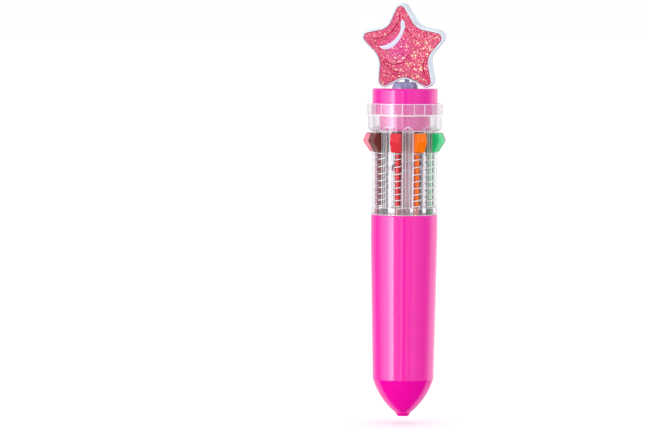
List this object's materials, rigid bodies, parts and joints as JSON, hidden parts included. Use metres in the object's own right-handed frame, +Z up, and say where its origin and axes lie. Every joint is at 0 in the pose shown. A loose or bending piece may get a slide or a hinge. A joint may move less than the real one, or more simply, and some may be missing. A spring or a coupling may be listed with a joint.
{
  "type": "multicolor click pen",
  "caption": "Thick multicolour ballpoint pen: pink barrel, clear slotted upper body, a ring of coloured slide buttons that each push out a refill, and a flat star topper.",
  "frame": {"origin": "centre of the tip opening, on the pen's axis", "axes": "+Z runs up the pen's axis from the tip to the star topper; -Y is the front, where the star faces; +X is to the right seen from the front"},
  "size_m": [0.0296, 0.028, 0.1391],
  "materials": {
    "pink_plastic": "glossy moulded plastic",
    "clear_plastic": "clear moulded plastic",
    "core_plastic": "clear moulded plastic",
    "peg_plastic": "soft translucent plastic",
    "star_white": "soft moulded plastic",
    "star_glitter": "soft plastic with fine flakes",
    "crescent_white": "soft plastic inlay",
    "spring_steel": "drawn bright wire",
    "tube_plastic": "extruded tube",
    "nib_metal": "turned, plated",
    "button_coral": "glossy moulded plastic",
    "button_orange": "glossy moulded plastic",
    "button_green": "glossy moulded plastic",
    "button_grey": "glossy moulded plastic",
    "button_black": "glossy moulded plastic",
    "button_purple": "glossy moulded plastic",
    "button_blue": "glossy moulded plastic",
    "button_pink": "glossy moulded plastic",
    "button_brown": "glossy moulded plastic"
  },
  "bodies": {
    "pen_body": {"barrel": "pink_plastic", "clear_body": "clear_plastic", "cap": "pink_plastic", "latch_core": "core_plastic", "topper_peg": "peg_plastic", "star_backing": "star_white", "star_face": "star_glitter", "star_crescent": "crescent_white", "spring_coral": "spring_steel", "spring_orange": "spring_steel", "spring_green": "spring_steel", "spring_grey": "spring_steel", "spring_black": "spring_steel", "spring_purple": "spring_steel", "spring_blue": "spring_steel", "spring_pink": "spring_steel", "spring_brown": "spring_steel"},
    "coral_slider": {"slider_coral": "button_coral"},
    "coral_refill": {"ink_tube_coral": "tube_plastic", "nib_coral": "nib_metal"},
    "orange_slider": {"slider_orange": "button_orange"},
    "orange_refill": {"ink_tube_orange": "tube_plastic", "nib_orange": "nib_metal"},
    "green_slider": {"slider_green": "button_green"},
    "green_refill": {"ink_tube_green": "tube_plastic", "nib_green": "nib_metal"},
    "grey_slider": {"slider_grey": "button_grey"},
    "grey_refill": {"ink_tube_grey": "tube_plastic", "nib_grey": "nib_metal"},
    "black_slider": {"slider_black": "button_black"},
    "black_refill": {"ink_tube_black": "tube_plastic", "nib_black": "nib_metal"},
    "purple_slider": {"slider_purple": "button_purple"},
    "purple_refill": {"ink_tube_purple": "tube_plastic", "nib_purple": "nib_metal"},
    "blue_slider": {"slider_blue": "button_blue"},
    "blue_refill": {"ink_tube_blue": "tube_plastic", "nib_blue": "nib_metal"},
    "pink_slider": {"slider_pink": "button_pink"},
    "pink_refill": {"ink_tube_pink": "tube_plastic", "nib_pink": "nib_metal"},
    "brown_slider": {"slider_brown": "button_brown"},
    "brown_refill": {"ink_tube_brown": "tube_plastic", "nib_brown": "nib_metal"}
  },
  "joints": [
    {"name": "coral_slide", "type": "slide", "parent": "pen_body", "child": "coral_slider", "axis": [0, 0, -1], "range_m": [0, 0.013], "stiffness_N_per_m": 60, "springref_m": -0.004, "deforming": ["spring_coral"]},
    {"name": "orange_slide", "type": "slide", "parent": "pen_body", "child": "orange_slider", "axis": [0, 0, -1], "range_m": [0, 0.013], "stiffness_N_per_m": 60, "springref_m": -0.004, "deforming": ["spring_orange"]},
    {"name": "green_slide", "type": "slide", "parent": "pen_body", "child": "green_slider", "axis": [0, 0, -1], "range_m": [0, 0.013], "stiffness_N_per_m": 60, "springref_m": -0.004, "deforming": ["spring_green"]},
    {"name": "grey_slide", "type": "slide", "parent": "pen_body", "child": "grey_slider", "axis": [0, 0, -1], "range_m": [0, 0.013], "stiffness_N_per_m": 60, "springref_m": -0.004, "deforming": ["spring_grey"]},
    {"name": "black_slide", "type": "slide", "parent": "pen_body", "child": "black_slider", "axis": [0, 0, -1], "range_m": [0, 0.013], "stiffness_N_per_m": 60, "springref_m": -0.004, "deforming": ["spring_black"]},
    {"name": "purple_slide", "type": "slide", "parent": "pen_body", "child": "purple_slider", "axis": [0, 0, -1], "range_m": [0, 0.013], "stiffness_N_per_m": 60, "springref_m": -0.004, "deforming": ["spring_purple"]},
    {"name": "blue_slide", "type": "slide", "parent": "pen_body", "child": "blue_slider", "axis": [0, 0, -1], "range_m": [0, 0.013], "stiffness_N_per_m": 60, "springref_m": -0.004, "deforming": ["spring_blue"]},
    {"name": "pink_slide", "type": "slide", "parent": "pen_body", "child": "pink_slider", "axis": [0, 0, -1], "range_m": [0, 0.013], "stiffness_N_per_m": 60, "springref_m": -0.004, "deforming": ["spring_pink"]},
    {"name": "brown_slide", "type": "slide", "parent": "pen_body", "child": "brown_slider", "axis": [0, 0, -1], "range_m": [0, 0.013], "stiffness_N_per_m": 60, "springref_m": -0.004, "deforming": ["spring_brown"]},
    {"name": "coral_refill_lean", "type": "hinge", "parent": "coral_slider", "child": "coral_refill", "pos_m": [0.00139, -0.00899, 0.0645], "axis": [0.9882, 0.153, 0], "range_deg": [0, 2.55]},
    {"name": "orange_refill_lean", "type": "hinge", "parent": "orange_slider", "child": "orange_refill", "pos_m": [0.00685, -0.00599, 0.0645], "axis": [0.6587, 0.7524, 0], "range_deg": [0, 2.55]},
    {"name": "green_refill_lean", "type": "hinge", "parent": "green_slider", "child": "green_refill", "pos_m": [0.0091, -0.00019, 0.0645], "axis": [0.0209, 0.9998, 0], "range_deg": [0, 2.55]},
    {"name": "grey_refill_lean", "type": "hinge", "parent": "grey_slider", "child": "grey_refill", "pos_m": [0.00709, 0.0057, 0.0645], "axis": [-0.6266, 0.7793, 0], "range_deg": [0, 2.55]},
    {"name": "black_refill_lean", "type": "hinge", "parent": "black_slider", "child": "black_refill", "pos_m": [0.00177, 0.00893, 0.0645], "axis": [-0.981, 0.1942, 0], "range_deg": [0, 2.55]},
    {"name": "purple_refill_lean", "type": "hinge", "parent": "purple_slider", "child": "purple_refill", "pos_m": [-0.00438, 0.00797, 0.0645], "axis": [-0.8763, -0.4818, 0], "range_deg": [0, 2.55]},
    {"name": "blue_refill_lean", "type": "hinge", "parent": "blue_slider", "child": "blue_refill", "pos_m": [-0.00848, 0.00329, 0.0645], "axis": [-0.3616, -0.9323, 0], "range_deg": [0, 2.55]},
    {"name": "pink_refill_lean", "type": "hinge", "parent": "pink_slider", "child": "pink_refill", "pos_m": [-0.00861, -0.00293, 0.0645], "axis": [0.3223, -0.9466, 0], "range_deg": [0, 2.55]},
    {"name": "brown_refill_lean", "type": "hinge", "parent": "brown_slider", "child": "brown_refill", "pos_m": [-0.00471, -0.00778, 0.0645], "axis": [0.8554, -0.518, 0], "range_deg": [0, 2.55]}
  ],
  "couplings": [
    {"joint": "coral_refill_lean", "follows": "coral_slide", "rad_per_m": 3.3939},
    {"joint": "orange_refill_lean", "follows": "orange_slide", "rad_per_m": 3.3939},
    {"joint": "green_refill_lean", "follows": "green_slide", "rad_per_m": 3.3939},
    {"joint": "grey_refill_lean", "follows": "grey_slide", "rad_per_m": 3.3939},
    {"joint": "black_refill_lean", "follows": "black_slide", "rad_per_m": 3.3939},
    {"joint": "purple_refill_lean", "follows": "purple_slide", "rad_per_m": 3.3939},
    {"joint": "blue_refill_lean", "follows": "blue_slide", "rad_per_m": 3.3939},
    {"joint": "pink_refill_lean", "follows": "pink_slide", "rad_per_m": 3.3939},
    {"joint": "brown_refill_lean", "follows": "brown_slide", "rad_per_m": 3.3939}
  ]
}
